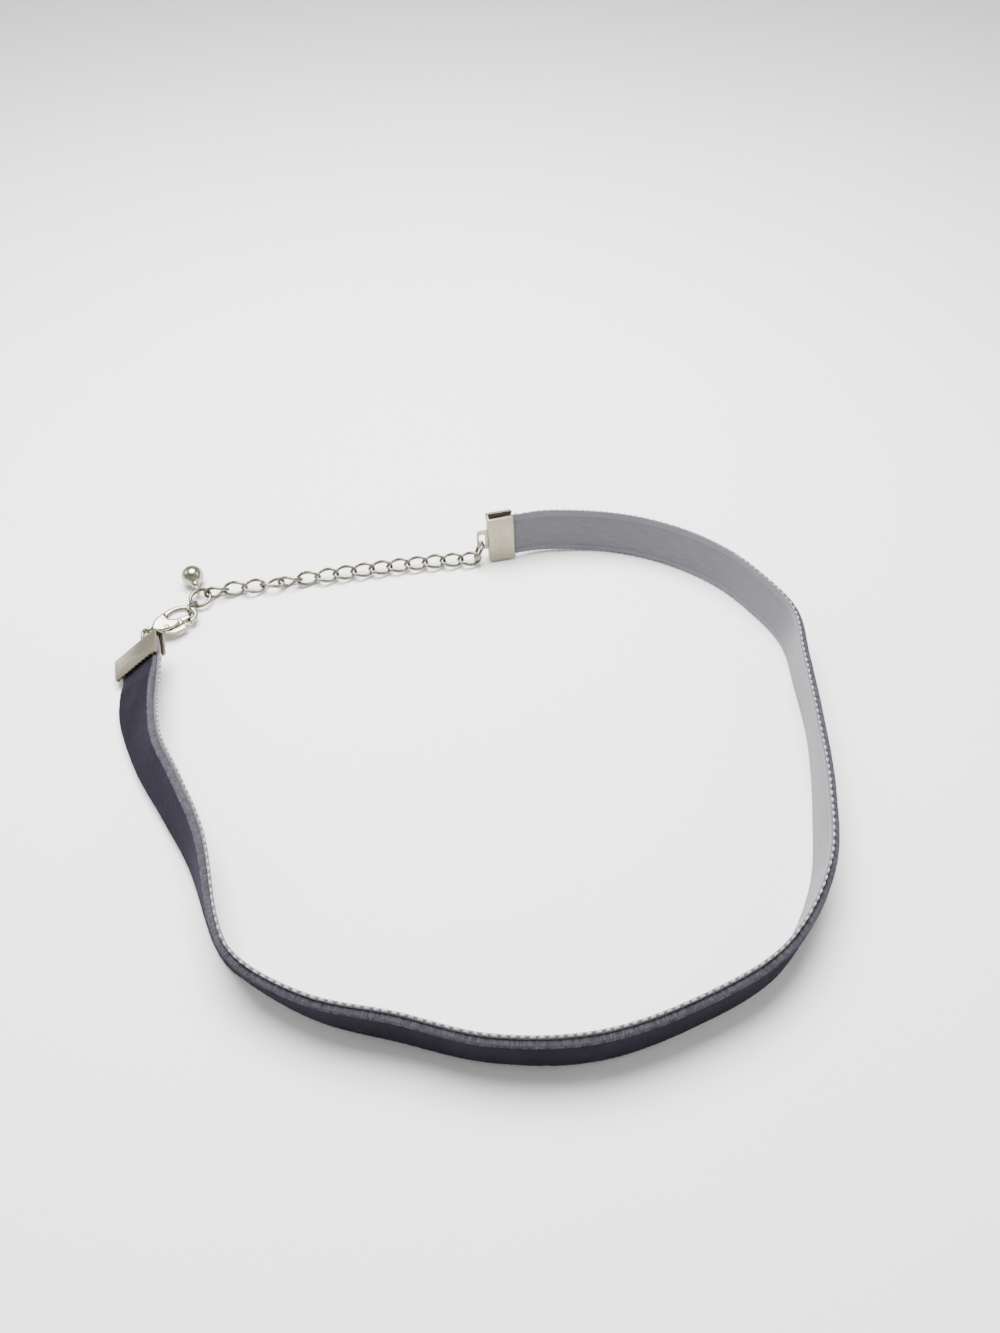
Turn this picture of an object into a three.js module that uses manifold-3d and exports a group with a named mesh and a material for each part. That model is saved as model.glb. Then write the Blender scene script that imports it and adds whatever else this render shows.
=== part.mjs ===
// A velvet ribbon choker lying closed on a table: the ribbon stands on its lower edge in a loop,
// folded metal clamps grip its two ends, and a lobster clasp on one end holds the last link of the
// extender chain on the other. A small ball drop hangs from a ring near the chain's end.
// Millimetres, +Z up, resting on Z = 0, with the origin under the middle of the bounding box.
import * as THREE from 'three';
import { mergeVertices } from 'three/addons/utils/BufferGeometryUtils.js';
import Module from 'manifold-3d';

const wasm = await Module();
wasm.setup();

const vector = (x, y, z) => new THREE.Vector3(x, y, z);

// ---------- driving dimensions ----------
const ribbonWidth = 10;
const backingThickness = 0.5;
const pileHeight = 1;
const selvedge = 0.9;
const pileShoulder = 0.35;
const ribbonSteps = 116;
const crushedPile = 0.45;
const crushLength = 3.5;

const sheet = 0.4;
const clampLength = 4.6;
const clampWidth = 10.2;
const clampGrip = 3.8;
const clampPlay = 0.2;
const toothPitch = 0.85;
const toothDepth = 0.35;
const tabLength = 2.1;
const tabWidth = 4.4;
const tabHoleWidth = 1.15;
const tabHoleLength = 3;
const tabRise = 4.7;
const leftTabBend = -30;

const jumpWire = 0.65;
const jumpRadius = 1.75;
const endRingWire = 0.7;
const endRingRadius = 1.85;

const linkCount = 15;
const linkWire = 0.6;
const linkHalfWidth = 1.15;
const linkTwist = 42;
const linkSlack = 0.18;

const claspSize = 0.92;
const clawThickness = 1.5;
const cheekThickness = 2.2;
const leverThickness = 0.8;
const slotWidth = 1;
const slotEnd = 6.15;
const pivotX = 3;
const pivotY = -1.1;
const pinRadius = 0.35;
const hubRadius = 0.85;
const hubHoleRadius = 0.44;

const ballRadius = 2;
const ballLoopRadius = 0.85;
const ballLoopWire = 0.5;
const ballLoopReach = 3.55;

// The ribbon's inner lower corner, from the clasp end round the front to the chain end:
// where it stands, how far its upper edge leans outwards in degrees, and how high it is lifted.
const ribbonRoute = [
  { x: -56.8, y: 17.6, lean: -53, lift: 0.55 },
  { x: -55.4, y: 13.4, lean: -53, lift: 0.55 },
  { x: -53.7, y: 5.3, lean: -50, lift: 0.3 },
  { x: -48.7, y: -3.7, lean: -34, lift: 0 },
  { x: -42.5, y: -12.2, lean: -27, lift: 0 },
  { x: -36.4, y: -20.8, lean: -19, lift: 0 },
  { x: -30.2, y: -32.4, lean: -5, lift: 0 },
  { x: -24.9, y: -36.8, lean: 8, lift: 0 },
  { x: -15.6, y: -41.7, lean: 7, lift: 0 },
  { x: -5, y: -44.5, lean: 3, lift: 0 },
  { x: 7, y: -47.1, lean: 4, lift: 0 },
  { x: 20.1, y: -47, lean: 2, lift: 0 },
  { x: 32.9, y: -42.7, lean: 2, lift: 0 },
  { x: 44.9, y: -35.7, lean: 2, lift: 0 },
  { x: 52.4, y: -24.2, lean: 4, lift: 0 },
  { x: 55.6, y: -11.6, lean: 1, lift: 0 },
  { x: 57.6, y: 2, lean: -6, lift: 0 },
  { x: 57.6, y: 14, lean: -4, lift: 0 },
  { x: 57, y: 23.5, lean: 0, lift: 0 },
  { x: 53, y: 31.3, lean: 0, lift: 0 },
  { x: 47.1, y: 38.4, lean: 0, lift: 0 },
  { x: 38.4, y: 44, lean: 0, lift: 0 },
  { x: 28.3, y: 47.1, lean: 0, lift: 0 },
  { x: 17.6, y: 47.2, lean: 0, lift: 0.5 },
  { x: 11.3, y: 45.9, lean: 0, lift: 0.75 },
  { x: 7.2, y: 45.1, lean: 0, lift: 0.25 },
];

// The chain's centre line from the end ring to the ring on the other clamp.
const chainRoute = [
  { x: -45, y: 34.6, z: 1.65 },
  { x: -41.5, y: 35.9, z: 1.5 },
  { x: -37.4, y: 36.6, z: 1.5 },
  { x: -28.9, y: 38.4, z: 1.48 },
  { x: -16.9, y: 41, z: 1.47 },
  { x: -4, y: 43.2, z: 1.47 },
  { x: 3.9, y: 44, z: 1.47 },
];

// How far each link is turned about the chain, from the end ring on; the rest lie as usualRoll.
const linkRolls = [104, 64, 24, -22, -70, -114];
const usualRoll = -152;

// The last link stands on edge between the hook and the end ring.
const lastLinkSlack = 0.2;
const lastLinkCentre = vector(-47.31, 31.27, 1.5);
const lastLinkHeading = vector(-0.07, 0.87, -0.48);
const lastLinkFacing = vector(0.87, -0.18, -0.45);

// ---------- small helpers ----------

function solid(geometry) {
  const bare = geometry.index ? geometry.toNonIndexed() : geometry.clone();
  bare.deleteAttribute('normal');
  bare.deleteAttribute('uv');
  const merged = mergeVertices(bare, 1e-4);
  return new wasm.Manifold(new wasm.Mesh({
    numProp: 3,
    vertProperties: new Float32Array(merged.attributes.position.array),
    triVerts: new Uint32Array(merged.index.array),
  }));
}

function geometryOf(manifold) {
  const mesh = manifold.getMesh();
  const geometry = new THREE.BufferGeometry();
  geometry.setAttribute('position', new THREE.BufferAttribute(new Float32Array(mesh.vertProperties), 3));
  geometry.setIndex(new THREE.BufferAttribute(new Uint32Array(mesh.triVerts), 1));
  geometry.computeVertexNormals();
  return geometry;
}

function finish(color, roughness, metalness) {
  return new THREE.MeshStandardMaterial({ color, roughness, metalness });
}

const velvet = () => finish(0x37343f, 0.95, 0);
const nickel = () => finish(0xb9b3a6, 0.22, 1);
const brightNickel = () => finish(0xcfcabd, 0.14, 1);

function named(name, geometry, material) {
  const mesh = new THREE.Mesh(geometry, material);
  mesh.name = name;
  return mesh;
}

// A group at a point whose X axis runs along one direction and whose Z axis is nearest to another.
function frameAt(point, along, up) {
  const x = along.clone().normalize();
  const y = up.clone().cross(x).normalize();
  const z = x.clone().cross(y);
  const group = new THREE.Group();
  group.position.copy(point);
  group.quaternion.setFromRotationMatrix(new THREE.Matrix4().makeBasis(x, y, z));
  group.updateMatrixWorld(true);
  return group;
}

// A closed wire ring on an oval centre line in the XY plane, twisted about its long axis.
function wireRing(halfLength, halfWidth, wire, twist, sides, steps) {
  const ring = new THREE.TorusGeometry(1, wire / 2, sides, steps);
  const spots = ring.attributes.position;
  for (let i = 0; i < spots.count; i += 1) {
    const turn = Math.atan2(spots.getY(i), spots.getX(i));
    const outward = Math.hypot(spots.getX(i), spots.getY(i)) - 1;
    const normal = new THREE.Vector2(Math.cos(turn) / halfLength, Math.sin(turn) / halfWidth).normalize();
    const x = halfLength * Math.cos(turn) + normal.x * outward;
    const y = halfWidth * Math.sin(turn) + normal.y * outward;
    const lean = THREE.MathUtils.degToRad(twist) * x / halfLength;
    const z = spots.getZ(i);
    spots.setXYZ(i, x, y * Math.cos(lean) - z * Math.sin(lean), y * Math.sin(lean) + z * Math.cos(lean));
  }
  return ring;
}

// ---------- the ribbon ----------
// One spot on the ribbon for a share of its route: a point and the directions along it,
// out through the pile, and across its width.
function ribbonSpot(share) {
  const spans = ribbonRoute.length - 1;
  const span = Math.min(Math.floor(share * spans), spans - 1);
  const t = share * spans - span;
  const row = (i) => {
    if (i < 0) return mirrored(ribbonRoute[0], ribbonRoute[1]);
    if (i > spans) return mirrored(ribbonRoute[spans], ribbonRoute[spans - 1]);
    return ribbonRoute[i];
  };
  const rows = [row(span - 1), row(span), row(span + 1), row(span + 2)];
  const value = (key) => passing(rows.map((r) => r[key]), t);
  const slope = (key) => (passing(rows.map((r) => r[key]), t + 1e-3) - value(key)) / 1e-3;
  const along = vector(slope('x'), slope('y'), slope('lift')).normalize();
  const side = along.clone().cross(vector(0, 0, 1)).normalize();
  const rise = side.clone().cross(along);
  const lean = THREE.MathUtils.degToRad(value('lean'));
  const out = side.clone().multiplyScalar(Math.cos(lean)).addScaledVector(rise, -Math.sin(lean));
  const across = side.clone().multiplyScalar(Math.sin(lean)).addScaledVector(rise, Math.cos(lean));
  const drop = Math.max(0, backingThickness * Math.sin(lean));
  return { point: vector(value('x'), value('y'), Math.max(0, value('lift')) + drop), along, out, across };
}

function mirrored(end, next) {
  const row = {};
  for (const key of Object.keys(end)) row[key] = 2 * end[key] - next[key];
  return row;
}

// A smooth curve through four values, from the second at t = 0 to the third at t = 1.
function passing([a, b, c, d], t) {
  return 0.5 * (2 * b + (c - a) * t + (2 * a - 5 * b + 4 * c - d) * t * t
    + (3 * b - a - 3 * c + d) * t * t * t);
}

// Lengths along the route at many even shares, so that distances can be turned into shares.
function measuredRoute() {
  const stops = 1200;
  const lengths = [0];
  let last = ribbonSpot(0).point;
  for (let i = 1; i <= stops; i += 1) {
    const point = ribbonSpot(i / stops).point;
    lengths.push(lengths[i - 1] + point.distanceTo(last));
    last = point;
  }
  return lengths;
}

const routeLengths = measuredRoute();
const ribbonLength = routeLengths[routeLengths.length - 1];

function spotAt(distance) {
  const next = Math.max(1, routeLengths.findIndex((length) => length >= distance - 1e-9));
  const before = routeLengths[next - 1];
  const part = (distance - before) / (routeLengths[next] - before);
  return ribbonSpot((next - 1 + part) / (routeLengths.length - 1));
}

// The pile is pressed flat inside the clamps and springs back to its full height past them.
function pileScale(distance) {
  const fromEnd = Math.min(distance, ribbonLength - distance);
  return THREE.MathUtils.mapLinear(
    THREE.MathUtils.smoothstep(fromEnd, clampGrip, clampGrip + crushLength), 0, 1, crushedPile, 1);
}

function velvetRibbon() {
  const face = backingThickness + pileHeight;
  const section = new THREE.Shape([
    new THREE.Vector2(0, 0),
    new THREE.Vector2(backingThickness, 0),
    new THREE.Vector2(backingThickness, selvedge),
    new THREE.Vector2(face, selvedge + pileShoulder),
    new THREE.Vector2(face, ribbonWidth - selvedge - pileShoulder),
    new THREE.Vector2(backingThickness, ribbonWidth - selvedge),
    new THREE.Vector2(backingThickness, ribbonWidth),
    new THREE.Vector2(0, ribbonWidth),
  ]);
  const geometry = new THREE.ExtrudeGeometry(section, {
    depth: ribbonLength, steps: ribbonSteps, bevelEnabled: false,
  });
  const spots = geometry.attributes.position;
  for (let i = 0; i < spots.count; i += 1) {
    const distance = ribbonLength - THREE.MathUtils.clamp(spots.getZ(i), 0, ribbonLength);
    const raised = Math.max(0, spots.getX(i) - backingThickness) * pileScale(distance);
    const spot = spotAt(distance);
    const place = spot.point.clone()
      .addScaledVector(spot.out, Math.min(spots.getX(i), backingThickness) + raised)
      .addScaledVector(spot.across, spots.getY(i));
    spots.setXYZ(i, place.x, place.y, place.z);
  }
  return named('velvet_ribbon', geometryOf(solid(geometry)), velvet());
}

// ---------- the end clamps ----------
// A plate in the XZ plane whose near edge is cut into teeth.
function toothedPlate(y) {
  const outline = new THREE.Shape();
  const teeth = Math.round(clampWidth / toothPitch);
  const pitch = clampWidth / teeth;
  outline.moveTo(clampLength, 0);
  outline.lineTo(clampLength, clampWidth);
  outline.lineTo(toothDepth, clampWidth);
  for (let i = teeth - 1; i >= 0; i -= 1) {
    outline.lineTo(0, (i + 0.5) * pitch);
    outline.lineTo(toothDepth, i * pitch);
  }
  const plate = new THREE.ExtrudeGeometry(outline, { depth: sheet, bevelEnabled: false });
  plate.rotateX(Math.PI / 2);
  plate.translate(0, y + sheet, 0);
  return solid(plate);
}

function foldedSpine(inner, outer) {
  const radius = sheet * 0.9;
  const profile = new THREE.Shape();
  profile.moveTo(clampLength - 0.05, inner);
  profile.lineTo(clampLength + sheet - radius, inner);
  profile.absarc(clampLength + sheet - radius, inner + radius, radius, -Math.PI / 2, 0, false);
  profile.absarc(clampLength + sheet - radius, outer - radius, radius, 0, Math.PI / 2, false);
  profile.lineTo(clampLength - 0.05, outer);
  profile.closePath();
  const spine = new THREE.ExtrudeGeometry(profile, { depth: clampWidth, bevelEnabled: false, curveSegments: 4 });
  return solid(spine);
}

// The strip that stands out of the spine, with its long hole, tilted by the bend.
function tabStrip(middle, bend) {
  const half = tabWidth / 2;
  const round = 0.9;
  const strip = new THREE.Shape();
  strip.moveTo(-0.5, -half);
  strip.lineTo(tabLength - round, -half);
  strip.absarc(tabLength - round, -half + round, round, -Math.PI / 2, 0, false);
  strip.absarc(tabLength - round, half - round, round, 0, Math.PI / 2, false);
  strip.lineTo(-0.5, half);
  strip.closePath();
  const hole = new THREE.Path();
  const reach = (tabHoleLength - tabHoleWidth) / 2;
  const holeX = tabLength - 0.4 - tabHoleWidth / 2;
  hole.absarc(holeX, -reach, tabHoleWidth / 2, Math.PI, 2 * Math.PI, false);
  hole.absarc(holeX, reach, tabHoleWidth / 2, 0, Math.PI, false);
  strip.holes.push(hole);
  const tab = new THREE.ExtrudeGeometry(strip, { depth: sheet, bevelEnabled: false, curveSegments: 5 });
  tab.rotateX(Math.PI / 2);
  tab.translate(0, sheet / 2, 0);
  tab.rotateZ(THREE.MathUtils.degToRad(bend));
  tab.translate(clampLength + sheet - 0.1, middle, tabRise);
  return solid(tab);
}

function clampFrame(distance, towardsEnd) {
  const spot = spotAt(distance);
  const along = spot.along.clone().multiplyScalar(towardsEnd);
  const frame = new THREE.Group();
  const basis = new THREE.Matrix4().makeBasis(along, spot.across.clone().cross(along), spot.across);
  frame.quaternion.setFromRotationMatrix(basis);
  frame.position.copy(spot.point);
  frame.updateMatrixWorld(true);
  return frame;
}

// The clamp's Y axis points out through the pile on one end and in through the backing on the other.
function endClamp(name, pileSide, bend) {
  const gripped = backingThickness + pileHeight * crushedPile;
  const low = pileSide > 0 ? 0 : -gripped;
  const inner = low - clampPlay - sheet;
  const outer = low + gripped + clampPlay + sheet;
  const middle = low + gripped / 2;
  const edge = (ribbonWidth - clampWidth) / 2;
  const body = foldedSpine(inner, outer)
    .subtract(solid(new THREE.BoxGeometry(1.2, outer - inner - 2 * sheet, 3 * clampWidth)
      .translate(clampLength - 0.6, (inner + outer) / 2, 0)))
    .add(toothedPlate(inner))
    .add(toothedPlate(outer - sheet))
    .translate([0, 0, edge])
    .add(tabStrip(middle, bend));
  return named(name, geometryOf(body), nickel());
}

function tabHole(frame, middle, bend, rise) {
  const reach = tabLength - 0.4 - tabHoleWidth / 2;
  const angle = THREE.MathUtils.degToRad(bend);
  return frame.localToWorld(vector(
    clampLength + sheet - 0.1 + reach * Math.cos(angle), middle + reach * Math.sin(angle), rise));
}

// ---------- rings and chain ----------
function roundRing(name, centre, across, alongside, radius, wire) {
  const normal = across.clone().cross(alongside);
  const frame = frameAt(centre, alongside, normal);
  frame.add(named(name, wireRing(radius, radius, wire, 0, 8, 26), nickel()));
  return frame;
}

function chainLink(number, halfLength, roll) {
  const geometry = wireRing(halfLength, linkHalfWidth, linkWire, linkTwist, 6, 20);
  const mesh = named(`chain_link_${String(number).padStart(2, '0')}`, geometry, nickel());
  mesh.rotation.x = THREE.MathUtils.degToRad(roll);
  return mesh;
}

function extenderChain() {
  const points = chainRoute.map((row) => vector(row.x, row.y, row.z));
  const route = new THREE.CatmullRomCurve3(points, false, 'centripetal');
  const pitch = route.getLength() / linkCount;
  const halfLength = (pitch + linkWire + linkSlack) / 2;
  const chain = new THREE.Group();
  const half = 0.5 / linkCount;
  for (let i = 0; i < linkCount; i += 1) {
    const share = (i + 0.5) / linkCount;
    const along = route.getPointAt(share + half).sub(route.getPointAt(share - half));
    const link = frameAt(route.getPointAt(share), along, vector(0, 0, 1));
    link.add(chainLink(linkCount - i, halfLength, linkRolls[i] ?? usualRoll));
    chain.add(link);
  }
  const last = frameAt(lastLinkCentre, lastLinkHeading, lastLinkFacing);
  last.add(chainLink(linkCount + 1, halfLength + lastLinkSlack, 0));
  chain.add(last);
  return chain;
}

// ---------- the lobster clasp ----------
// Its X axis runs from the eye to the hook, and its hinge axis is Z.
function flat(shape, thickness, bevel) {
  const geometry = new THREE.ExtrudeGeometry(shape, {
    depth: thickness - 2 * bevel,
    bevelEnabled: bevel > 0,
    bevelThickness: bevel,
    bevelSize: bevel,
    bevelOffset: -bevel,
    bevelSegments: 2,
    curveSegments: 5,
  });
  geometry.translate(0, 0, bevel - thickness / 2);
  return solid(geometry);
}

function clawShape() {
  const outline = new THREE.Shape();
  outline.moveTo(1.2, 0.6);
  outline.bezierCurveTo(2.6, 2, 4.4, 2.5, 6, 2.45);
  outline.bezierCurveTo(8.4, 2.35, 10.2, 1.2, 10.1, -0.3);
  outline.bezierCurveTo(10, -1.6, 9, -2.3, 7.6, -2.35);
  outline.lineTo(7.5, -1.6);
  outline.bezierCurveTo(8.6, -1.45, 9.2, -0.9, 9.15, -0.2);
  outline.bezierCurveTo(9.1, 0.7, 7.9, 1.45, 6.3, 1.5);
  outline.bezierCurveTo(5, 1.45, 4.3, 1, 4.2, 0.2);
  outline.lineTo(4.2, -1.2);
  outline.bezierCurveTo(3.9, -2.1, 2.6, -2.1, 1.2, -0.7);
  outline.closePath();
  return outline;
}

function shankShape() {
  const outline = new THREE.Shape();
  outline.moveTo(0.75, 0.5);
  outline.bezierCurveTo(2.3, 2, 3.6, 2.1, 4.4, 1.95);
  outline.lineTo(4.35, 0.4);
  outline.bezierCurveTo(4.8, -0.1, 5.3, -0.3, 5.9, -0.45);
  outline.lineTo(5.8, -1.35);
  outline.bezierCurveTo(4.9, -1.8, 2.9, -2.4, 0.75, -0.5);
  outline.closePath();
  return outline;
}

function claspBody() {
  const eye = solid(wireRing(0.95, 0.95, 0.75, 0, 8, 18));
  const slot = solid(new THREE.BoxGeometry(slotEnd - 1.85, 3.2, slotWidth)
    .translate((slotEnd + 1.85) / 2, -1.45, 0));
  const pin = solid(new THREE.CylinderGeometry(pinRadius, pinRadius, cheekThickness + 0.3, 14)
    .rotateX(Math.PI / 2).translate(pivotX, pivotY, 0));
  const body = eye
    .add(flat(clawShape(), clawThickness, 0.35))
    .add(flat(shankShape(), cheekThickness, 0.35))
    .subtract(slot)
    .add(pin);
  return named('clasp_body', geometryOf(body).scale(claspSize, claspSize, claspSize), brightNickel());
}

function gateShape() {
  const outline = new THREE.Shape();
  outline.moveTo(pivotX - 0.3, pivotY + 0.8);
  outline.bezierCurveTo(4.5, -0.05, 6.2, -0.1, 8.1, -0.66);
  outline.lineTo(8.1, -1.38);
  outline.lineTo(6, -1.45);
  outline.lineTo(pivotX, pivotY - 0.6);
  outline.closePath();
  return outline;
}

function thumbShape() {
  const outline = new THREE.Shape();
  outline.moveTo(pivotX + 0.4, pivotY - 0.5);
  outline.bezierCurveTo(3.9, -1.95, 4.8, -2, 5.9, -1.88);
  outline.lineTo(6.3, -1.82);
  outline.absarc(6.45, -2.25, 0.45, 0.5 * Math.PI, -0.6 * Math.PI, true);
  outline.bezierCurveTo(5.4, -2.75, 3.2, -3.1, pivotX - 0.5, pivotY - 0.3);
  outline.closePath();
  return outline;
}

function claspLever() {
  const hub = solid(new THREE.CylinderGeometry(hubRadius, hubRadius, leverThickness, 20)
    .rotateX(Math.PI / 2).translate(pivotX, pivotY, 0));
  const hole = solid(new THREE.CylinderGeometry(hubHoleRadius, hubHoleRadius, 2, 14)
    .rotateX(Math.PI / 2).translate(pivotX, pivotY, 0));
  const beyondSlot = solid(new THREE.BoxGeometry(6, 6, 3).translate(slotEnd + 0.1 + 3, -1.5, 0));
  const wide = flat(gateShape(), clawThickness, 0.2)
    .add(flat(thumbShape(), clawThickness, 0.2))
    .intersect(beyondSlot);
  const lever = hub
    .add(flat(gateShape(), leverThickness, 0))
    .add(flat(thumbShape(), leverThickness, 0))
    .add(wide)
    .subtract(hole);
  return named('clasp_lever', geometryOf(lever).scale(claspSize, claspSize, claspSize), brightNickel());
}

// ---------- the ball drop ----------
// The ball is at the origin, and its neck and loop reach out along X.
function ballDrop() {
  const profile = [];
  const neck = 0.75;
  const neckEnd = 2.75;
  const start = Math.asin(neck / ballRadius);
  for (let i = 0; i <= 10; i += 1) {
    const turn = THREE.MathUtils.mapLinear(i, 0, 10, Math.PI, start);
    profile.push(new THREE.Vector2(ballRadius * Math.sin(turn), ballRadius * Math.cos(turn)));
  }
  profile.push(new THREE.Vector2(neck, neckEnd - 0.2));
  profile.push(new THREE.Vector2(neck - 0.2, neckEnd));
  profile.push(new THREE.Vector2(0, neckEnd));
  profile[0].x = 0;
  const ball = solid(new THREE.LatheGeometry(profile, 20).rotateZ(-Math.PI / 2));
  const loop = solid(wireRing(ballLoopRadius, ballLoopRadius, ballLoopWire, 0, 8, 16)
    .rotateX(Math.PI / 2).translate(ballLoopReach, 0, 0));
  return named('ball_drop', geometryOf(ball.add(loop)), brightNickel());
}

// ---------- assembly ----------
const choker = new THREE.Group();
choker.add(velvetRibbon());

const grippedMiddle = (backingThickness + pileHeight * crushedPile) / 2;
const leftFrame = clampFrame(clampGrip, -1);
leftFrame.add(endClamp('clasp_end_clamp', 1, leftTabBend));
choker.add(leftFrame);
const rightFrame = clampFrame(ribbonLength - clampGrip, 1);
rightFrame.add(endClamp('chain_end_clamp', -1, 0));
choker.add(rightFrame);

const chainHole = tabHole(rightFrame, -grippedMiddle, 0, 3.85);
choker.add(roundRing('chain_jump_ring', chainHole.clone().add(vector(-0.7, -0.37, -1.6)),
  vector(0.08, 0.99, 0.1), vector(-0.38, 0.09, -0.91), jumpRadius, jumpWire));

const claspHole = tabHole(leftFrame, grippedMiddle, leftTabBend, 5.6);
choker.add(roundRing('clasp_jump_ring', claspHole.clone().add(vector(-0.18, 1.5, -1.07)),
  vector(-0.1, 0.39, 0.91), vector(0, 0.93, -0.38), jumpRadius, jumpWire));

const eyeCentre = claspHole.clone().add(vector(-0.17, 3.26, -1.26));
const hookEnd = vector(-46, 31, 1.6);
const claspFrame = frameAt(eyeCentre, hookEnd.clone().sub(eyeCentre), vector(0.2, -0.12, 0.97));
claspFrame.add(claspBody());
claspFrame.add(claspLever());
choker.add(claspFrame);

choker.add(extenderChain());

const endRingCentre = vector(-46.25, 33.89, 1.35);
choker.add(roundRing('end_ring', endRingCentre, vector(0.97, 0.19, 0.11),
  vector(-0.19, 0.97, 0.14), endRingRadius, endRingWire));

const ballCentre = vector(-48.47, 38.79, ballRadius);
const ballReach = vector(0.4, -0.9, -0.1);
const ballFrame = frameAt(ballCentre, ballReach, vector(0, 0, 1));
ballFrame.add(ballDrop());
choker.add(ballFrame);

const box = new THREE.Box3().setFromObject(choker, true);
choker.position.set(-(box.min.x + box.max.x) / 2, -(box.min.y + box.max.y) / 2, 0);

export default choker;
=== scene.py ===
# A velvet ribbon choker lying closed on a pale table. The ribbon, wire, ball and clasp are built
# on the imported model's own positions; lengths are in millimetres until a mesh is made.
import math
import bmesh
import bpy
import numpy as np
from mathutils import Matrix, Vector


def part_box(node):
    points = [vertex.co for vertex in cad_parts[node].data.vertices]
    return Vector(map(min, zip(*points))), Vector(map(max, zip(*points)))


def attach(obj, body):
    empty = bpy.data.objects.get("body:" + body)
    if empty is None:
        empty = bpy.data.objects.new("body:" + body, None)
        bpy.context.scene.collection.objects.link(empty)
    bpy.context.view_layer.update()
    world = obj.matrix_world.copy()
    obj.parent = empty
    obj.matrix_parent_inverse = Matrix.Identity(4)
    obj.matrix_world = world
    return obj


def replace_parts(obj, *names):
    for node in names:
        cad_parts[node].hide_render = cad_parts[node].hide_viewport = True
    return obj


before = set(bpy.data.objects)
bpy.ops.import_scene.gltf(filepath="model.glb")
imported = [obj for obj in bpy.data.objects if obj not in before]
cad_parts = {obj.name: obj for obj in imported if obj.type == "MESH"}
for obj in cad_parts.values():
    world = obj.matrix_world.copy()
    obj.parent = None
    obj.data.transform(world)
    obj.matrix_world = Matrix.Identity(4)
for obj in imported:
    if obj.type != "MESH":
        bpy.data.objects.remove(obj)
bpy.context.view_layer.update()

MM = 0.001

# ---------- sizes ----------
ribbon_width = 10
backing_thickness = 0.5
pile_height = 1
pile_face = backing_thickness + pile_height - 0.08
selvedge = 0.9
pile_shoulder = 0.35
clamp_grip = 3.8
crushed_pile = 0.45
crush_length = 3.5
picot_pitch = 1.15
picot_height = 0.3
picot_yarn = 0.26
fibre_length = 0.24
fibre_width = 0.04
link_wire = 0.6
link_half_width = 1.15
link_twist = 42
jump_wire = 0.65
end_ring_wire = 0.7
ball_radius = 2
ball_neck_radius = 0.75
ball_loop_radius = 0.85
ball_loop_wire = 0.5
ball_loop_reach = 3.55

# The ribbon's inner lower corner from the clasp end round the front to the chain end: where it
# stands, how far its upper edge leans outwards in degrees, and how high it is lifted.
ribbon_route = [
    {"x": -56.8, "y": 17.6, "lean": -53, "lift": 0.55},
    {"x": -55.4, "y": 13.4, "lean": -53, "lift": 0.55},
    {"x": -53.7, "y": 5.3, "lean": -50, "lift": 0.3},
    {"x": -48.7, "y": -3.7, "lean": -34, "lift": 0},
    {"x": -42.5, "y": -12.2, "lean": -27, "lift": 0},
    {"x": -36.4, "y": -20.8, "lean": -19, "lift": 0},
    {"x": -30.2, "y": -32.4, "lean": -5, "lift": 0},
    {"x": -24.9, "y": -36.8, "lean": 8, "lift": 0},
    {"x": -15.6, "y": -41.7, "lean": 7, "lift": 0},
    {"x": -5, "y": -44.5, "lean": 3, "lift": 0},
    {"x": 7, "y": -47.1, "lean": 4, "lift": 0},
    {"x": 20.1, "y": -47, "lean": 2, "lift": 0},
    {"x": 32.9, "y": -42.7, "lean": 2, "lift": 0},
    {"x": 44.9, "y": -35.7, "lean": 2, "lift": 0},
    {"x": 52.4, "y": -24.2, "lean": 4, "lift": 0},
    {"x": 55.6, "y": -11.6, "lean": 1, "lift": 0},
    {"x": 57.6, "y": 2, "lean": -6, "lift": 0},
    {"x": 57.6, "y": 14, "lean": -4, "lift": 0},
    {"x": 57, "y": 23.5, "lean": 0, "lift": 0},
    {"x": 53, "y": 31.3, "lean": 0, "lift": 0},
    {"x": 47.1, "y": 38.4, "lean": 0, "lift": 0},
    {"x": 38.4, "y": 44, "lean": 0, "lift": 0},
    {"x": 28.3, "y": 47.1, "lean": 0, "lift": 0},
    {"x": 17.6, "y": 47.2, "lean": 0, "lift": 0.5},
    {"x": 11.3, "y": 45.9, "lean": 0, "lift": 0.75},
    {"x": 7.2, "y": 45.1, "lean": 0, "lift": 0.25},
]


# ---------- the ribbon's line ----------
def unit(rows):
    return rows / np.linalg.norm(rows, axis=-1, keepdims=True)


def passing(values, shares):
    """A smooth curve through the values, at even shares of its spans, and its slope."""
    ends = [2 * values[0] - values[1], *values, 2 * values[-1] - values[-2]]
    spans = len(values) - 1
    at = np.clip(shares * spans, 0, spans)
    span = np.minimum(at.astype(int), spans - 1)
    t = at - span
    a, b, c, d = (np.array(ends)[span + i] for i in range(4))
    curve = 2 * b + (c - a) * t + (2 * a - 5 * b + 4 * c - d) * t ** 2 + (3 * b - a - 3 * c + d) * t ** 3
    slope = (c - a) + 2 * (2 * a - 5 * b + 4 * c - d) * t + 3 * (3 * b - a - 3 * c + d) * t ** 2
    return curve / 2, slope / 2


def pile_scale(distance, length):
    """The pile is pressed down inside the clamps and springs back past them."""
    from_end = np.minimum(distance, length - distance)
    share = np.clip((from_end - clamp_grip) / crush_length, 0, 1)
    return crushed_pile + (1 - crushed_pile) * share * share * (3 - 2 * share)


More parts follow.
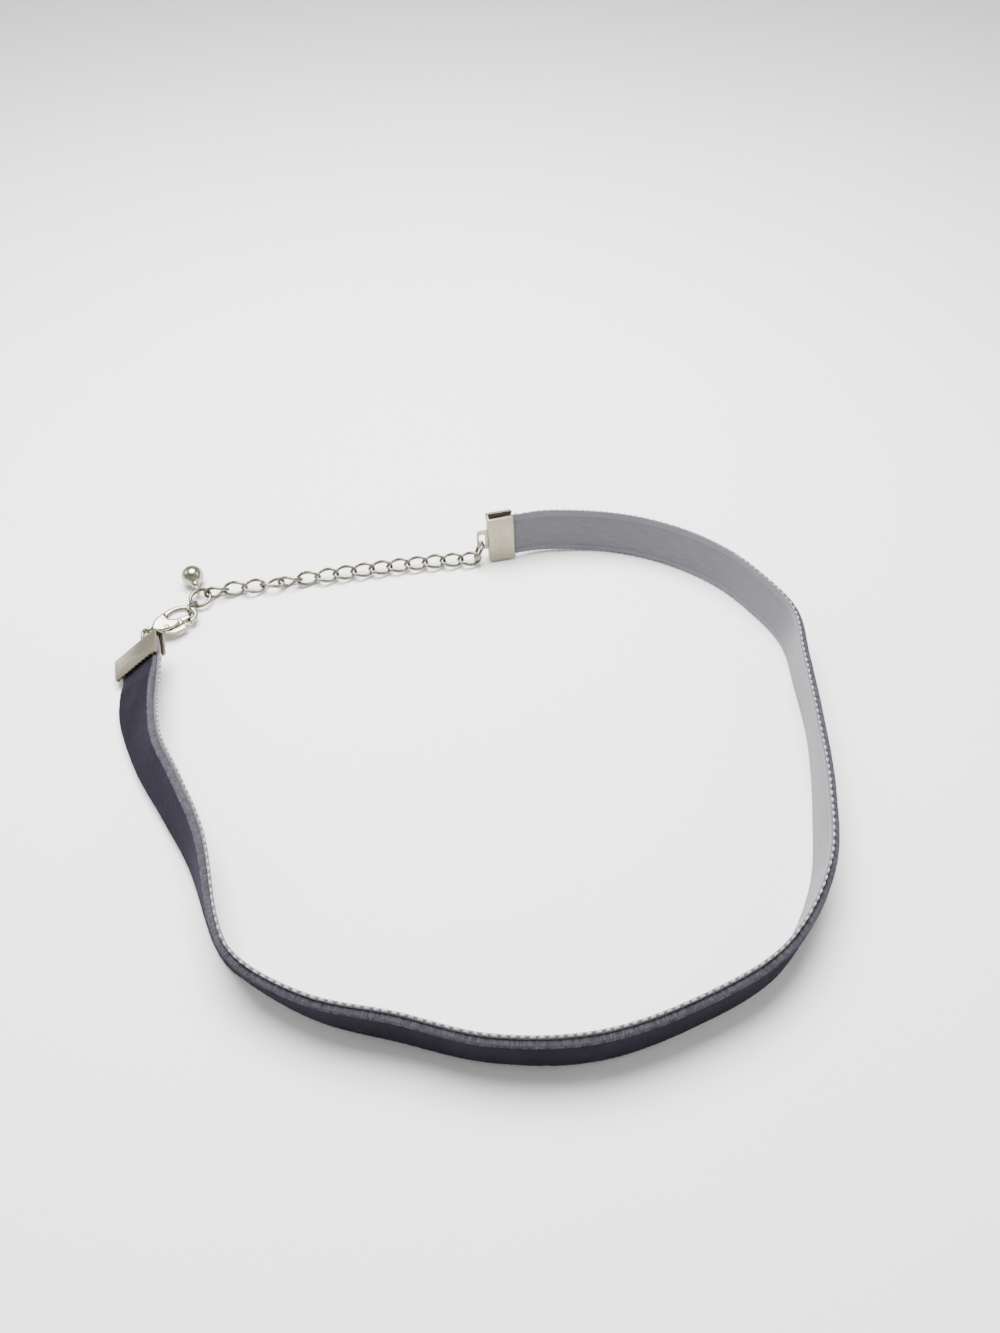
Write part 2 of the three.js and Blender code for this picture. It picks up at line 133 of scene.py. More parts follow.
class RibbonLine:
    """Where a point of the ribbon lies, from its distance along, its depth and its height."""

    def __init__(self):
        shares = np.linspace(0, 1, 2401)
        x, run_x = passing([row["x"] for row in ribbon_route], shares)
        y, run_y = passing([row["y"] for row in ribbon_route], shares)
        lift, climb = passing([row["lift"] for row in ribbon_route], shares)
        lean = np.radians(passing([row["lean"] for row in ribbon_route], shares)[0])[:, None]
        along = unit(np.stack([run_x, run_y, climb], 1))
        side = unit(np.cross(along, [0, 0, 1]))
        rise = np.cross(side, along)
        self.out = side * np.cos(lean) - rise * np.sin(lean)
        self.across = side * np.sin(lean) + rise * np.cos(lean)
        drop = np.maximum(0, backing_thickness * np.sin(lean[:, 0]))
        self.points = np.stack([x, y, np.maximum(0, lift) + drop], 1)
        steps = np.linalg.norm(np.diff(self.points, axis=0), axis=1)
        self.distances = np.concatenate([[0], np.cumsum(steps)])
        self.length = self.distances[-1]
        low = np.array(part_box("velvet_ribbon")[0]) / MM
        self.points = self.points + low - self.lowest_corner()

    def lowest_corner(self):
        """The lowest x, y and z of the plain ribbon: a flat strip with the pile's block on it."""
        stations = np.linspace(0, self.length, 117)[:, None]
        strip = self.place(stations, np.array([[0, backing_thickness]] * 2).reshape(1, 4),
                           np.array([[0, 0, ribbon_width, ribbon_width]]))
        raised = pile_height * pile_scale(stations, self.length)
        shoulders = np.array([[selvedge + pile_shoulder, ribbon_width - selvedge - pile_shoulder]])
        block = self.place(stations, backing_thickness + raised, shoulders)
        return np.minimum(strip.min((0, 1)), block.min((0, 1)))

    def place(self, distance, depth, height):
        distance, depth, height = np.broadcast_arrays(distance, depth, height)

        def read(table):
            return np.stack([np.interp(distance, self.distances, column) for column in table.T], -1)
        return read(self.points) + depth[..., None] * read(self.out) + height[..., None] * read(self.across)


line = RibbonLine()


# ---------- mesh helpers ----------
def piece_from(name, points, faces, finish, body="choker", smooth=True):
    mesh = bpy.data.meshes.new(name)
    mesh.from_pydata(np.asarray(points).reshape(-1, 3) * MM, [], faces)
    mesh.polygons.foreach_set("use_smooth", [smooth] * len(mesh.polygons))
    mesh.update()
    piece = bpy.data.objects.new(name, mesh)
    bpy.context.collection.objects.link(piece)
    mesh.materials.append(finish)
    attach(piece, body)
    return piece


def band_faces(rows, columns, ring=False, first=0):
    """Quads between the rows of a grid whose columns close on themselves; a ring's rows do too."""
    i, j = np.meshgrid(np.arange(rows if ring else rows - 1), np.arange(columns), indexing="ij")
    next_row = (i + 1) % rows
    next_column = (j + 1) % columns
    quads = np.stack([i * columns + j, i * columns + next_column,
                      next_row * columns + next_column, next_row * columns + j], -1)
    return (quads.reshape(-1, 4) + first).tolist()


def ends_of(rows, columns):
    last = (rows - 1) * columns
    return [list(range(columns))[::-1], list(range(last, last + columns))]


def mark(piece, name, values):
    """Keeps a number on every point of a piece, for its finish to read."""
    attribute = piece.data.attributes.new(name, "FLOAT", "POINT")
    attribute.data.foreach_set("value", np.asarray(values, dtype=np.float32).ravel())


def facing_out(piece):
    shape = bmesh.new()
    shape.from_mesh(piece.data)
    bmesh.ops.recalc_face_normals(shape, faces=shape.faces)
    shape.to_mesh(piece.data)
    shape.free()
    return piece


# ---------- finishes ----------
class Number:
    """A number that varies over a surface; sums on it add Math nodes."""

    def __init__(self, nodes, socket):
        self.nodes = nodes
        self.socket = socket

    def joined(self, operation, *numbers):
        return self.nodes.node("ShaderNodeMath", {"operation": operation}, dict(enumerate(numbers)))

    def __add__(self, other):
        return self.joined("ADD", self, other)

    def __radd__(self, other):
        return self.joined("ADD", other, self)

    def __sub__(self, other):
        return self.joined("SUBTRACT", self, other)

    def __rsub__(self, other):
        return self.joined("SUBTRACT", other, self)

    def __mul__(self, other):
        return self.joined("MULTIPLY", self, other)

    def __rmul__(self, other):
        return self.joined("MULTIPLY", other, self)

    def sine(self):
        return self.joined("SINE", self)

    def size(self):
        return self.joined("ABSOLUTE", self)

    def ramped(self, low, high):
        """0 below low and 1 above high, with a soft slope between."""
        return self.nodes.node("ShaderNodeMapRange", {"interpolation_type": "SMOOTHSTEP"},
                               {"Value": self, "From Min": low, "From Max": high})


class Nodes:
    """The nodes of one material or of the room."""

    def __init__(self, tree):
        self.tree = tree

    def node(self, kind, settings=None, inputs=None, output=0):
        node = self.tree.nodes.new(kind)
        for key, setting in (settings or {}).items():
            if key == "stops":
                for element, (position, shade) in zip(node.color_ramp.elements, setting):
                    element.position = position
                    element.color = (shade, shade, shade, 1)
            else:
                setattr(node, key, setting)
        for key, given in (inputs or {}).items():
            self.give(node.inputs[key], given)
        return Number(self, node.outputs[output])

    def give(self, socket, given):
        if isinstance(given, Number):
            self.tree.links.new(given.socket, socket)
        elif socket.type == "RGBA" and len(given) == 3:
            socket.default_value = (*given, 1)
        else:
            socket.default_value = given


class Finish(Nodes):
    """One material; its fixed numbers are set on the shader and the rest is made of nodes."""

    def __init__(self, name, color, **fixed):
        self.material = bpy.data.materials.new(name)
        self.material.use_nodes = True
        self.material.diffuse_color = (*color, 1)
        super().__init__(self.material.node_tree)
        self.shader = self.tree.nodes["Principled BSDF"]
        self.shader.inputs["Base Color"].default_value = (*color, 1)
        for words, amount in fixed.items():
            self.shader.inputs[words.replace("_", " ").title().replace("Ior", "IOR")].default_value = amount

    def read(self, name):
        """The number that the piece's points carry under that name."""
        return self.node("ShaderNodeAttribute", {"attribute_name": name}, output="Fac")

    def spot(self, along, across, depth=0.0):
        return self.node("ShaderNodeCombineXYZ", None, {"X": along, "Y": across, "Z": depth})

    def place(self):
        """The point on the object in millimetres."""
        point = self.node("ShaderNodeTexCoord", output="Object")
        return self.node("ShaderNodeVectorMath", {"operation": "SCALE"}, {0: point, "Scale": 1 / MM})

    def clouds(self, where, scale, detail=3.0, roughness=0.55):
        return self.node("ShaderNodeTexNoise", None,
                         {"Vector": where, "Scale": scale, "Detail": detail, "Roughness": roughness})

    def blended(self, share, first, second):
        return self.node("ShaderNodeMix", {"data_type": "RGBA"}, {0: share, 6: first, 7: second}, output=2)

    def feed(self, socket, source):
        self.give(self.shader.inputs[socket], source)

    def raise_by(self, height, distance, strength=1.0):
        """Bumps of that many millimetres."""
        bump = self.node("ShaderNodeBump", None,
                         {"Height": height, "Distance": distance * MM, "Strength": strength})
        self.feed("Normal", bump)


def velvet_pile_finish():
    """Short dark pile: paler where it is brushed, with painted sheen on its cut sides and a painted
    highlight in patches along its upper rim.
    """
    finish = Finish("velvet_pile", (0.008, 0.007, 0.012), roughness=0.95, specular_ior_level=0.05,
                    sheen_weight=0.05, sheen_roughness=0.5, sheen_tint=(0.7, 0.62, 1.0, 1))
    along = finish.read("along")
    across = finish.read("across")
    brushed = finish.clouds(finish.spot(along * 0.11, across * 0.16), 1.0, 3.0)
    streaks = finish.clouds(finish.spot(along * 0.9, across * 0.45), 1.0, 4.0)
    nap = finish.clouds(finish.spot(along, across), 4.0, 3.0, 0.75)
    pale = (brushed.ramped(0.4, 0.7) * 0.5 + streaks.ramped(0.4, 0.75) * 0.25
            + nap.ramped(0.35, 0.75) * 0.35)
    napped = finish.blended(pale, (0.0046, 0.0041, 0.0058), (0.0115, 0.0102, 0.0148))
    # painted sheen: the cut sides get a paler colour that stands in for light caught by the pile's sides at
    # a grazing angle
    sides = finish.blended(nap.ramped(0.35, 0.7), (0.03, 0.028, 0.034), (0.07, 0.066, 0.079))
    sheen_on_sides = finish.blended(finish.read("painted_sheen"), napped, sides)
    # painted highlight: the upper rim, marked by the rim number, is painted paler in patches for the light
    # caught by the pile's top edge
    rim_highlight_breakup = finish.clouds(finish.spot(along * 1.6, across * 0.5, 4.0), 1.0, 4.0, 0.8).ramped(0.35, 0.72)
    rim_highlighted = finish.blended(finish.read("rim") * (0.2 + 0.75 * rim_highlight_breakup), sheen_on_sides, (0.13, 0.124, 0.145))
    lint = finish.clouds(finish.spot(along * 0.75, across * 1.1, 9.0), 1.0, 1.0).ramped(0.8, 0.83)
    finish.feed("Base Color", finish.blended(lint * 0.6, rim_highlighted, (0.2, 0.2, 0.2)))
    finish.raise_by(nap + 0.3 * streaks, 0.07, 0.5)
    return finish.material


def backing_finish():
    """Smooth close weave, with a paler selvedge band inside each edge and a dark outermost thread."""
    finish = Finish("woven_backing", (0.3, 0.285, 0.335), roughness=0.6, specular_ior_level=0.35,
                    sheen_weight=0.2, sheen_roughness=0.4)
    along = finish.read("along")
    across = finish.read("across")
    warp = (across * (2 * math.pi / 0.34)).sine()
    weft = (along * (2 * math.pi / 0.42)).sine()
    threads = warp * weft
    uneven = finish.clouds(finish.spot(along * 0.35, across * 1.6), 1.0, 4.0)
    fine = finish.clouds(finish.spot(along * 1.3, across * 2.5), 2.0, 3.0, 0.65)
    from_edge = ribbon_width / 2 - (across - ribbon_width / 2).size()
    band = 1 - from_edge.ramped(1.3, 1.75)
    groove = 1 - ((from_edge - 1.55).size()).ramped(0.05, 0.22)
    ground = finish.blended(uneven.ramped(0.25, 0.8), (0.076, 0.072, 0.087), (0.1, 0.095, 0.114))
    ribbed = finish.blended(band * 0.5, ground, (0.138, 0.131, 0.155))
    worn = finish.blended(fine.ramped(0.3, 0.8) * 0.35, ribbed, (0.146, 0.14, 0.162))
    grooved = finish.blended(groove * 0.4, worn, (0.062, 0.058, 0.072))
    rim = 1 - from_edge.ramped(0.26, 0.42)
    finish.feed("Base Color", finish.blended(rim * 0.45, grooved, (0.05, 0.047, 0.058)))
    finish.feed("Roughness", 0.5 + 0.25 * fine)
    finish.raise_by(threads * 0.5 + fine * 0.6 + band * 0.5, 0.05, 0.7)
    return finish.material


def picot_finish():
    """Pale shiny selvedge yarn."""
    finish = Finish("picot_yarn", (0.5, 0.49, 0.54), roughness=0.45, specular_ior_level=0.5,
                    sheen_weight=0.3, sheen_roughness=0.35)
    where = finish.place()
    strands = finish.clouds(where, 6.0, 3.0, 0.6)
    yarn = finish.blended(strands.ramped(0.3, 0.7), (0.17, 0.163, 0.19), (0.46, 0.45, 0.48))
    finish.feed("Base Color", yarn)
    finish.raise_by(strands, 0.05, 0.6)
    return finish.material


def metal_finish(name, color, dull, smoothness, scratches):
    """Nickel-coloured plating with faint handling marks and duller patches."""
    finish = Finish(name, color, metallic=1.0, roughness=smoothness)
    where = finish.place()
    patches = finish.clouds(where, 0.55, 3.0, 0.6)
    marks = finish.clouds(where, 4.5, 5.0, 0.7)
    long_way = finish.node("ShaderNodeMapping", None, {"Vector": where, "Scale": (0.6, 7.0, 7.0),
                                                       "Rotation": (0.3, 0.2, 0.7)})
    hairlines = finish.clouds(long_way, 1.8, 2.0, 0.6).ramped(0.56, 0.72)
    tarnish = patches.ramped(0.45, 0.75) * 0.55 + marks.ramped(0.45, 0.8) * 0.3
    finish.feed("Base Color", finish.blended(tarnish, color, dull))
    finish.feed("Roughness", smoothness + 0.12 * patches + scratches * 0.16 * hairlines)
    finish.raise_by(marks * 0.5 + hairlines * scratches, 0.005, 0.4)
    return finish.material


velvet = velvet_pile_finish()
backing_cloth = backing_finish()
picot_yarn_finish = picot_finish()
plate_metal = metal_finish("clamp_plate", (0.265, 0.236, 0.178), (0.18, 0.158, 0.113), 0.26, 1.0)
wire_metal = metal_finish("plated_wire", (0.2, 0.18, 0.145), (0.115, 0.1, 0.078), 0.2, 0.4)
cast_metal = metal_finish("cast_clasp", (0.32, 0.292, 0.232), (0.19, 0.168, 0.125), 0.16, 0.5)
ball_metal = metal_finish("polished_ball", (0.36, 0.33, 0.27), (0.22, 0.198, 0.15), 0.1, 0.25)


# ---------- the ribbon ----------
def from_middle(height):
    return np.abs(height - ribbon_width / 2)


def upper_half(height):
    return (height > ribbon_width / 2).astype(float)


def pressed(depth, distance, dimples=0.0):
    """Depths in the pile once the clamps have pressed it, with dimples in its surface."""
    raised = np.maximum(0, depth - backing_thickness)
    uneven = raised + dimples * (raised > 0)
    return np.minimum(depth, backing_thickness) + uneven * pile_scale(distance, line.length)


def heights_and_depths(section):
    height, depth = np.array(section, dtype=float).T
    return height[None, :], depth[None, :]


def ribbon_strip(name, distance, depth, height, across, finish):
    """A closed strip carried along the ribbon; across is each point's height before it wanders."""
    points = line.place(distance, depth, height)
    rows, columns = points.shape[:2]
    strip = piece_from(name, points, band_faces(rows, columns) + ends_of(rows, columns), finish)
    mark(strip, "along", np.broadcast_to(distance, (rows, columns)))
    mark(strip, "across", np.broadcast_to(across, (rows, columns)))
    return facing_out(strip)


def woven_backing():
    """The woven ground: flat, with a thicker selvedge along each edge and rounded edges."""
    low = picot_height * 0.7
    top = ribbon_width - low
    inner = [(low + 0.12, 0.05), (0.5, 0.0), (1.35, 0.0), (1.55, 0.05), (1.75, 0.03), (3.2, 0.03),
             (5, 0.03), (6.8, 0.03), (ribbon_width - 1.75, 0.03), (ribbon_width - 1.55, 0.05),
             (ribbon_width - 1.35, 0.0), (ribbon_width - 0.5, 0.0), (top - 0.12, 0.05)]
    outer = [(top - 0.12, 0.36), (ribbon_width - 0.55, 0.42), (ribbon_width - 0.9, 0.46), (7, 0.46),
             (3, 0.46), (0.9, 0.46), (0.55, 0.42), (low + 0.12, 0.36)]
    top_edge = [(top - 0.02, 0.12), (top - 0.02, 0.29)]
    low_edge = [(low + 0.02, 0.29), (low + 0.02, 0.12)]
    height, depth = heights_and_depths(inner + top_edge + outer + low_edge)
    stations = np.linspace(0.01, line.length - 0.01, 900)[:, None]
    return ribbon_strip("woven_backing", stations, depth, height, height, backing_cloth)


def velvet_pile():
    """The pile as a dense cushion with rounded, slightly uneven cut edges."""
    low = selvedge
    top = ribbon_width - selvedge
    foot = 0.4
    rising = [(low + 0.02, foot), (low - 0.06, foot + 0.3), (low, pile_face - 0.4),
              (low + 0.12, pile_face - 0.16), (low + 0.34, pile_face - 0.04)]
    face = [(height, pile_face) for height in np.linspace(low + 0.7, top - 0.7, 14)]
    falling = [(low + top - height, depth) for height, depth in rising[::-1]]
    height, depth = heights_and_depths(rising + face + falling)
    stations = np.linspace(0.02, line.length - 0.02, 1300)[:, None]
    uneven = np.random.default_rng(4)
    count = len(stations)
    upper_ripple, lower_ripple = (
        np.convolve(uneven.normal(0, 1, count + 8), np.ones(5) / 5, "same")[4:-4, None] for _ in range(2))
    edge = np.clip(from_middle(height) - (ribbon_width / 2 - selvedge - 0.5), 0, 1)
    wander = np.where(upper_half(height) > 0, upper_ripple, lower_ripple) * 0.06 * edge
    dimples = uneven.normal(0, 0.012, (count, height.size))
    depth = pressed(depth, stations, dimples)
    pile = ribbon_strip("velvet_pile", stations, depth, height + wander, height, velvet)
    from_rim = from_middle(height) - (ribbon_width / 2 - selvedge - 0.34)
    # painted sheen mask: 0 on the face and 1 on the cut sides, where the pile is painted paler for the
    # light it catches
    sides = np.clip(from_rim / 0.2, 0, 1)
    # painted highlight mask: the upper rim only, where the top edge is painted paler for the light it
    # catches
    upper_rim_highlight = np.exp(-(from_rim / 0.16) ** 2) * upper_half(height)
    mark(pile, "painted_sheen", np.broadcast_to(sides, dimples.shape))
    mark(pile, "rim", np.broadcast_to(upper_rim_highlight, dimples.shape))
    return pile


def pile_tips():
    """Loose fibre ends that stand out of the pile, thickest along its two rims."""
    uneven = np.random.default_rng(21)
    face_count = 18000
    rim_count = 24000
    face_height = uneven.uniform(selvedge + 0.5, ribbon_width - selvedge - 0.5, face_count)
    face_depth = np.full(face_count, pile_face - 0.04)
    rim_turn = uneven.uniform(0, 1, rim_count)
    rim_height = selvedge + 0.02 + 0.4 * rim_turn ** 2
    upper = np.arange(rim_count) % 2 == 0
    rim_height = np.where(upper, ribbon_width - rim_height, rim_height)
    rim_depth = pile_face - 0.08 - 0.6 * (1 - rim_turn) ** 2
    height = np.concatenate([face_height, rim_height])
    depth = np.concatenate([face_depth, rim_depth])
    distance = uneven.uniform(clamp_grip + 0.5, line.length - clamp_grip - 0.5, len(height))
    outward = np.concatenate([np.zeros(face_count), np.where(upper, 1, -1) * (1 - rim_turn)])
    reach = fibre_length * uneven.uniform(0.5, 1, len(height))
    lean = uneven.normal(0, 0.35, (2, len(height)))
    depth = pressed(depth, distance)
    tip = line.place(distance + reach * lean[0], depth + reach * (1 - 0.75 * np.abs(outward)) * 0.7,
                     height + reach * (0.8 * outward + lean[1] * 0.6))
    half = fibre_width / 2
    feet = [line.place(distance + half * math.cos(turn), depth - 0.05, height + half * math.sin(turn))
            for turn in (0, 2.1, 4.2)]
    points = np.stack([*feet, tip], 1)
    first = np.arange(len(height))[:, None, None] * 4
    faces = (np.array([[0, 1, 2], [0, 1, 3], [1, 2, 3], [2, 0, 3]]) + first).reshape(-1, 3)
    tips = piece_from("pile_tips", points, faces.tolist(), velvet)
    from_rim = np.clip((from_middle(height) - (ribbon_width / 2 - selvedge - 0.45)) / 0.3, 0, 1)
    # painted sheen: every fibre is painted a little paler, more towards the rims, to lift its self-shaded
    # facets
    for name, values in (("along", distance), ("across", height), ("painted_sheen", 0.12 + from_rim * 0.6),
                         # painted highlight: the fibres along the upper rim are painted paler for the light
                         # the top edge catches
                         ("rim", from_rim * upper_half(height) * 0.5)):
        mark(tips, name, np.repeat(values, 4))
    return facing_out(tips)


def picot_edges():
    """Small loops of selvedge yarn along both edges."""
    sides = 6
    steps = 9
    count = int(line.length / picot_pitch) - 6
    starts = (line.length - count * picot_pitch) / 2 + np.arange(count) * picot_pitch
    turn = np.linspace(0, math.pi, steps)
    around = np.linspace(0, 2 * math.pi, sides, endpoint=False)
    uneven = np.random.default_rng(9)
    points = []
    faces = []
    for edge in (0, 1):
        for start in starts:
            tall = picot_height * uneven.uniform(0.8, 1.15)
            half = picot_pitch * uneven.uniform(0.2, 0.27)
            shift = uneven.normal(0, 0.03)
            yarn = picot_yarn / 2 * np.sin(turn * 0.8 + 0.31)[:, None] ** 0.3
            along = start + shift + picot_pitch / 2 - half * np.cos(turn)[:, None]
            reach = np.sin(turn)[:, None]
            loop_along = along - yarn * np.cos(around) * np.cos(turn)[:, None]
            loop_high = reach * tall + yarn * np.cos(around) * reach
            loop_high = loop_high - tall - picot_yarn / 2
            depth = 0.24 + yarn * np.sin(around) * 1.25 + 0.05 * edge
            height = ribbon_width + loop_high if edge else -loop_high
            faces += band_faces(steps, sides, first=len(points) * steps * sides)
            faces += [[len(points) * steps * sides + i for i in end] for end in ends_of(steps, sides)]
            points.append(line.place(loop_along, depth, height))
    return facing_out(piece_from("picot_edges", np.array(points), faces, picot_yarn_finish))


# ---------- the metal ----------
def corner_points(node):
    """The node's own corner points in millimetres, each once."""
    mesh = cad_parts[node].data
    flat = np.empty(len(mesh.vertices) * 3)
    mesh.vertices.foreach_get("co", flat)
    return np.unique(np.round(flat.reshape(-1, 3) / MM, 4), axis=0)


def own_axes(node):
    """The node's middle and its long, wide and thin directions."""
    points = corner_points(node)
    middle = points.mean(0)
    axes = np.linalg.svd(points - middle, full_matrices=False)[2]
    axes[2] = np.cross(axes[0], axes[1])
    return middle, axes, (points - middle) @ axes.T


def wire_ring(node, wire, finish, twist=0.0, joint_turn=1.9):
    """A round wire bent into a ring or link, with the fine gap where its ends meet."""
    middle, axes, local = own_axes(node)
    long_radius = (local[:, 0].max() - local[:, 0].min() - wire) / 2
    short_radius = link_half_width if twist else long_radius
    near_joint = joint_turn + np.array([-0.05, -0.02, 0, 0.02, 0.05])
    even = np.linspace(0, 2 * math.pi, 64, endpoint=False)
    turn = np.unique(np.concatenate([even, near_joint]))[:, None]
    around = np.linspace(0, 2 * math.pi, 12, endpoint=False)[None, :]
    thick = wire / 2 * (1 - 0.3 * np.exp(-((turn - joint_turn) / 0.018) ** 2))
    lean_x = np.cos(turn) / long_radius
    lean_y = np.sin(turn) / short_radius
    tilt = np.hypot(lean_x, lean_y)
    x = long_radius * np.cos(turn) + lean_x / tilt * thick * np.cos(around)
    y = short_radius * np.sin(turn) + lean_y / tilt * thick * np.cos(around)
    z = thick * np.sin(around)
    lean = math.radians(twist) * x / long_radius
    local = np.stack([x, y * np.cos(lean) - z * np.sin(lean), y * np.sin(lean) + z * np.cos(lean)], -1)
    ring = piece_from(node + "_wire", middle + local @ axes, band_faces(*x.shape, ring=True), finish)
    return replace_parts(facing_out(ring), node)


def cast_copy(node, name, finish, body, voxel, rounds):
    """The node's shape with its edges tumbled round, as a cast and polished piece is."""
    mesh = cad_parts[node].data.copy()
    piece = bpy.data.objects.new(name, mesh)
    bpy.context.collection.objects.link(piece)
    mesh.transform(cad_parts[node].matrix_world)
    middle = Vector(np.mean(corner_points(node), 0) * MM)
    for vertex in mesh.vertices:
        vertex.co = (vertex.co - middle) / MM
    remesh = piece.modifiers.new("even", "REMESH")
    remesh.mode = "VOXEL"
    remesh.voxel_size = voxel
    smooth = piece.modifiers.new("tumbled", "SMOOTH")
    smooth.factor = 0.5
    smooth.iterations = rounds
    made = bpy.data.meshes.new_from_object(piece.evaluated_get(bpy.context.evaluated_depsgraph_get()))
    piece.modifiers.clear()
    for vertex in made.vertices:
        vertex.co = vertex.co * MM + middle
    made.polygons.foreach_set("use_smooth", [True] * len(made.polygons))
    made.materials.clear()
    made.materials.append(finish)
    piece.data = made
    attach(piece, body)
    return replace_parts(piece, node)


def clamp_plate(node, name):
    """The folded clamp with its cut edges softened."""
    shape = bmesh.new()
    shape.from_mesh(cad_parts[node].data)
    bmesh.ops.remove_doubles(shape, verts=shape.verts, dist=0.002 * MM)
    bmesh.ops.dissolve_limit(shape, angle_limit=math.radians(1), verts=shape.verts, edges=shape.edges)
    sharp = [edge for edge in shape.edges
             if len(edge.link_faces) == 2 and edge.calc_face_angle() > math.radians(35)]
    bmesh.ops.bevel(shape, geom=sharp, offset=0.05 * MM, segments=2, profile=0.6, affect="EDGES",
                    clamp_overlap=True)
    mesh = bpy.data.meshes.new(name)
    shape.to_mesh(mesh)
    shape.free()
    mesh.materials.append(plate_metal)
    mesh.polygons.foreach_set("use_smooth", [True] * len(mesh.polygons))
    mesh.set_sharp_from_angle(angle=math.radians(40))
    piece = bpy.data.objects.new(name, mesh)
    bpy.context.collection.objects.link(piece)
    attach(piece, "choker")
    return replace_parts(piece, node)


def ball_and_loop():
    """A polished ball turned with its neck, and the small loop that hangs on the end ring."""
    middle, axes, local = own_axes("ball_drop")
    spread = np.hypot(local[:, 1], local[:, 2])
    ball_behind = spread[local[:, 0] < 0].mean() > spread[local[:, 0] > 0].mean()
    axes[0] *= 1 if ball_behind else -1
    axes[2] = np.cross(axes[0], axes[1])
    local = (corner_points("ball_drop") - middle) @ axes.T
    centre = middle + axes[0] * (local[:, 0].min() + ball_radius)
    start = math.asin(ball_neck_radius / ball_radius)
    turn = np.linspace(math.pi, start, 34)
    profile = [(ball_radius * math.cos(t), ball_radius * math.sin(t)) for t in turn]
    profile[0] = (-ball_radius, 0.004)
    profile += [(1.95, 0.66), (2.08, 0.64), (2.16, 0.72), (2.3, 0.74), (2.42, 0.68), (2.62, 0.6),
                (2.74, 0.42), (2.76, 0.004)]
    spokes = 48
    around = np.linspace(0, 2 * math.pi, spokes, endpoint=False)
    rows = np.array([[(x, r * math.cos(a), r * math.sin(a)) for a in around] for x, r in profile])
    points = centre + rows @ axes
    faces = band_faces(len(profile), spokes) + ends_of(len(profile), spokes)
    ball = facing_out(piece_from("polished_ball", points, faces, ball_metal))
    turn = np.linspace(0, 2 * math.pi, 40, endpoint=False)[:, None]
    around = np.linspace(0, 2 * math.pi, 12, endpoint=False)[None, :]
    half = ball_loop_wire / 2
    reach = ball_loop_radius + half * np.cos(around)
    loop = np.stack([ball_loop_reach + reach * np.cos(turn), reach * np.sin(turn),
                     half * np.sin(around) + 0 * turn], -1)
    faces = band_faces(*loop.shape[:2], ring=True)
    ring = facing_out(piece_from("ball_loop", centre + loop @ axes, faces, ball_metal))
    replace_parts(ball, "ball_drop")


backing = woven_backing()
pile = velvet_pile()
tips = pile_tips()
picots = picot_edges()
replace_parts(backing, "velvet_ribbon")

clamp_plate("clasp_end_clamp", "clasp_end_plate")
clamp_plate("chain_end_clamp", "chain_end_plate")
for ring in ("clasp_jump_ring", "chain_jump_ring"):
    wire_ring(ring, jump_wire, wire_metal)
wire_ring("end_ring", end_ring_wire, wire_metal)
for number in range(1, 17):
    wire_ring(f"chain_link_{number:02d}", link_wire, wire_metal, link_twist)
cast_copy("clasp_body", "cast_claw", cast_metal, "choker", 0.07, 6)
cast_copy("clasp_lever", "cast_lever", cast_metal, "lever", 0.06, 4)
ball_and_loop()


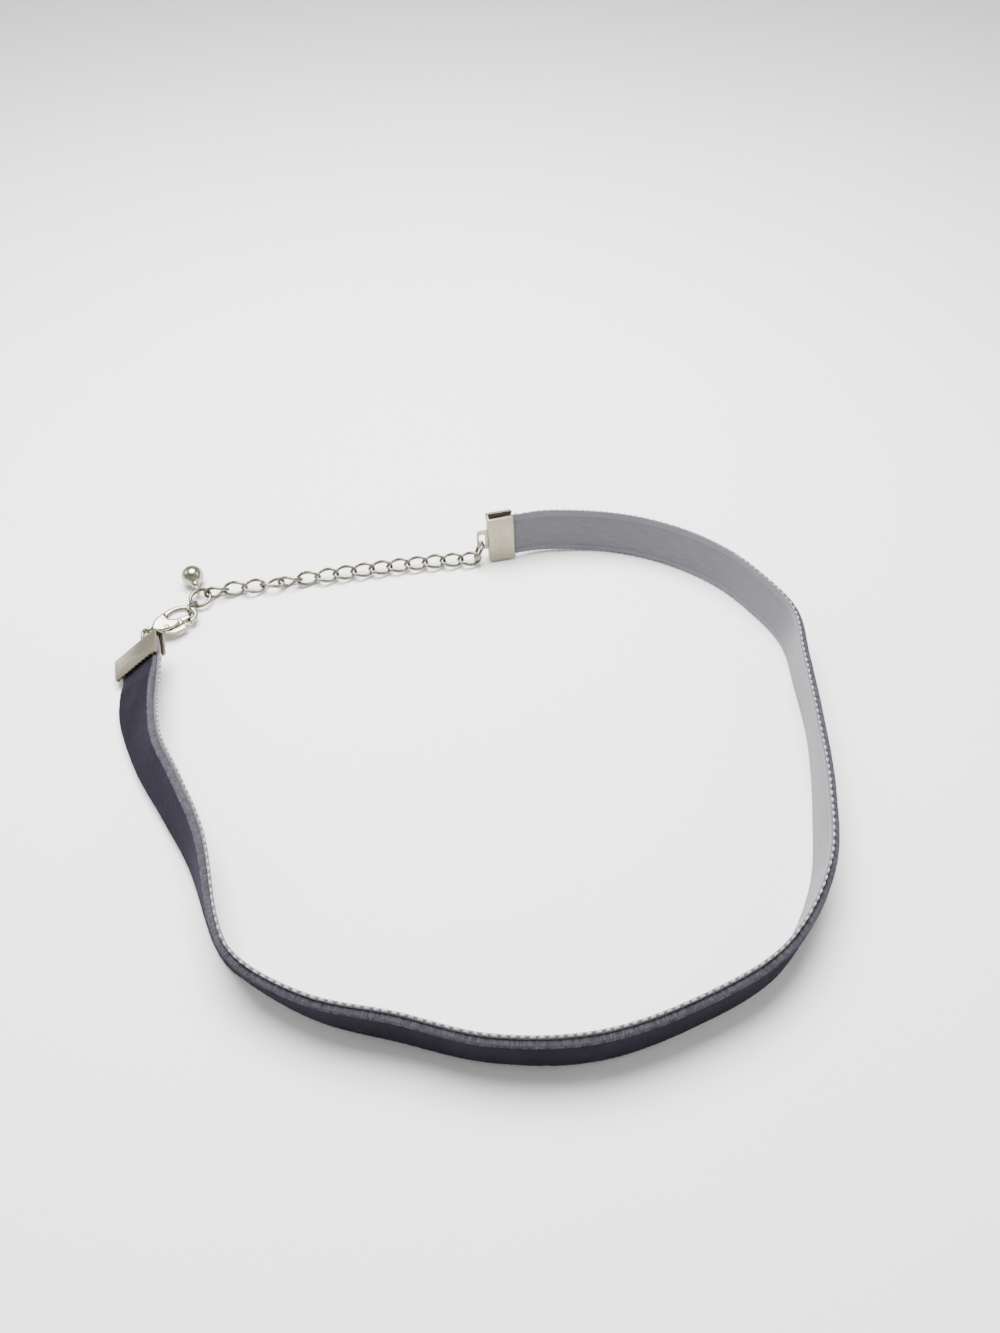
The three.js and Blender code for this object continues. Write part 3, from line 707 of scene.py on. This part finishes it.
# ---------- table, light and camera ----------
def pale_table():
    """A pale floor that curves up into a low wall all round."""
    finish = Finish("pale_table", (0.8, 0.81, 0.8), roughness=0.6, specular_ior_level=0.2)
    where = finish.place()
    soft = finish.clouds(where, 0.01, 2.0)
    finish.feed("Base Color", finish.blended(soft, (0.79, 0.8, 0.79), (0.83, 0.84, 0.835)))
    flat_radius = 450
    bend = 250
    quarter = np.linspace(0, math.pi / 2, 14)
    rows = [(flat_radius + bend, 900)]
    rows += [(flat_radius + bend * math.cos(a), bend - bend * math.sin(a)) for a in quarter]
    spokes = 96
    around = np.linspace(0, 2 * math.pi, spokes, endpoint=False)
    points = [(r * math.cos(a), r * math.sin(a), z) for r, z in rows for a in around] + [(0, 0, 0)]
    floor = len(points) - 1
    rim = floor - spokes
    faces = band_faces(len(rows), spokes)
    faces += [(rim + i, rim + (i + 1) % spokes, floor) for i in range(spokes)]
    mesh = bpy.data.meshes.new("table")
    mesh.from_pydata([Vector(p) * MM for p in points], [], faces)
    mesh.polygons.foreach_set("use_smooth", [True] * len(mesh.polygons))
    mesh.materials.append(finish.material)
    table = bpy.data.objects.new("table", mesh)
    bpy.context.collection.objects.link(table)


def soft_light(name, place, target, size, power, color=(1, 1, 1)):
    lamp = bpy.data.lights.new(name, "AREA")
    lamp.shape = "ELLIPSE"
    lamp.size, lamp.size_y = size
    lamp.energy = power
    lamp.color = color
    light = bpy.data.objects.new(name, lamp)
    light.location = place
    light.rotation_euler = (Vector(target) - Vector(place)).to_track_quat("-Z", "Y").to_euler()
    bpy.context.collection.objects.link(light)


def pale_room():
    """A room that is bright overhead and dimmer low down, for the metal to mirror."""
    world = bpy.data.worlds.new("room")
    world.use_nodes = True
    nodes = Nodes(world.node_tree)
    direction = nodes.node("ShaderNodeTexCoord", output="Generated")
    height = nodes.node("ShaderNodeSeparateXYZ", None, {0: direction}, output="Z")
    shade = nodes.node("ShaderNodeValToRGB", {"stops": [(0.15, 0.3), (0.95, 1)]}, {"Fac": height})
    background = world.node_tree.nodes["Background"]
    nodes.give(background.inputs["Color"], shade)
    background.inputs["Strength"].default_value = 0.6
    bpy.context.scene.world = world


def studio():
    pale_table()
    soft_light("overhead", (-0.02, 0.09, 0.27), (0, 0.03, 0), (0.25, 0.21), 3.9, (1, 1, 0.985))
    soft_light("left_side", (-0.5, 0.1, 0.35), (0, 0, 0), (0.3, 0.3), 0.8)
    soft_light("right_side", (0.5, 0.05, 0.35), (0, 0, 0), (0.3, 0.3), 0.7)
    pale_room()


def camera():
    view = bpy.data.cameras.new("camera")
    view.lens = 27
    view.sensor_width = 36
    view.clip_start = 0.005
    eye = bpy.data.objects.new("camera", view)
    eye.location = (0.00733, -0.09173, 0.132)
    eye.rotation_euler = (math.radians(40), 0, 0)
    bpy.context.collection.objects.link(eye)
    bpy.context.scene.camera = eye


studio()
camera()
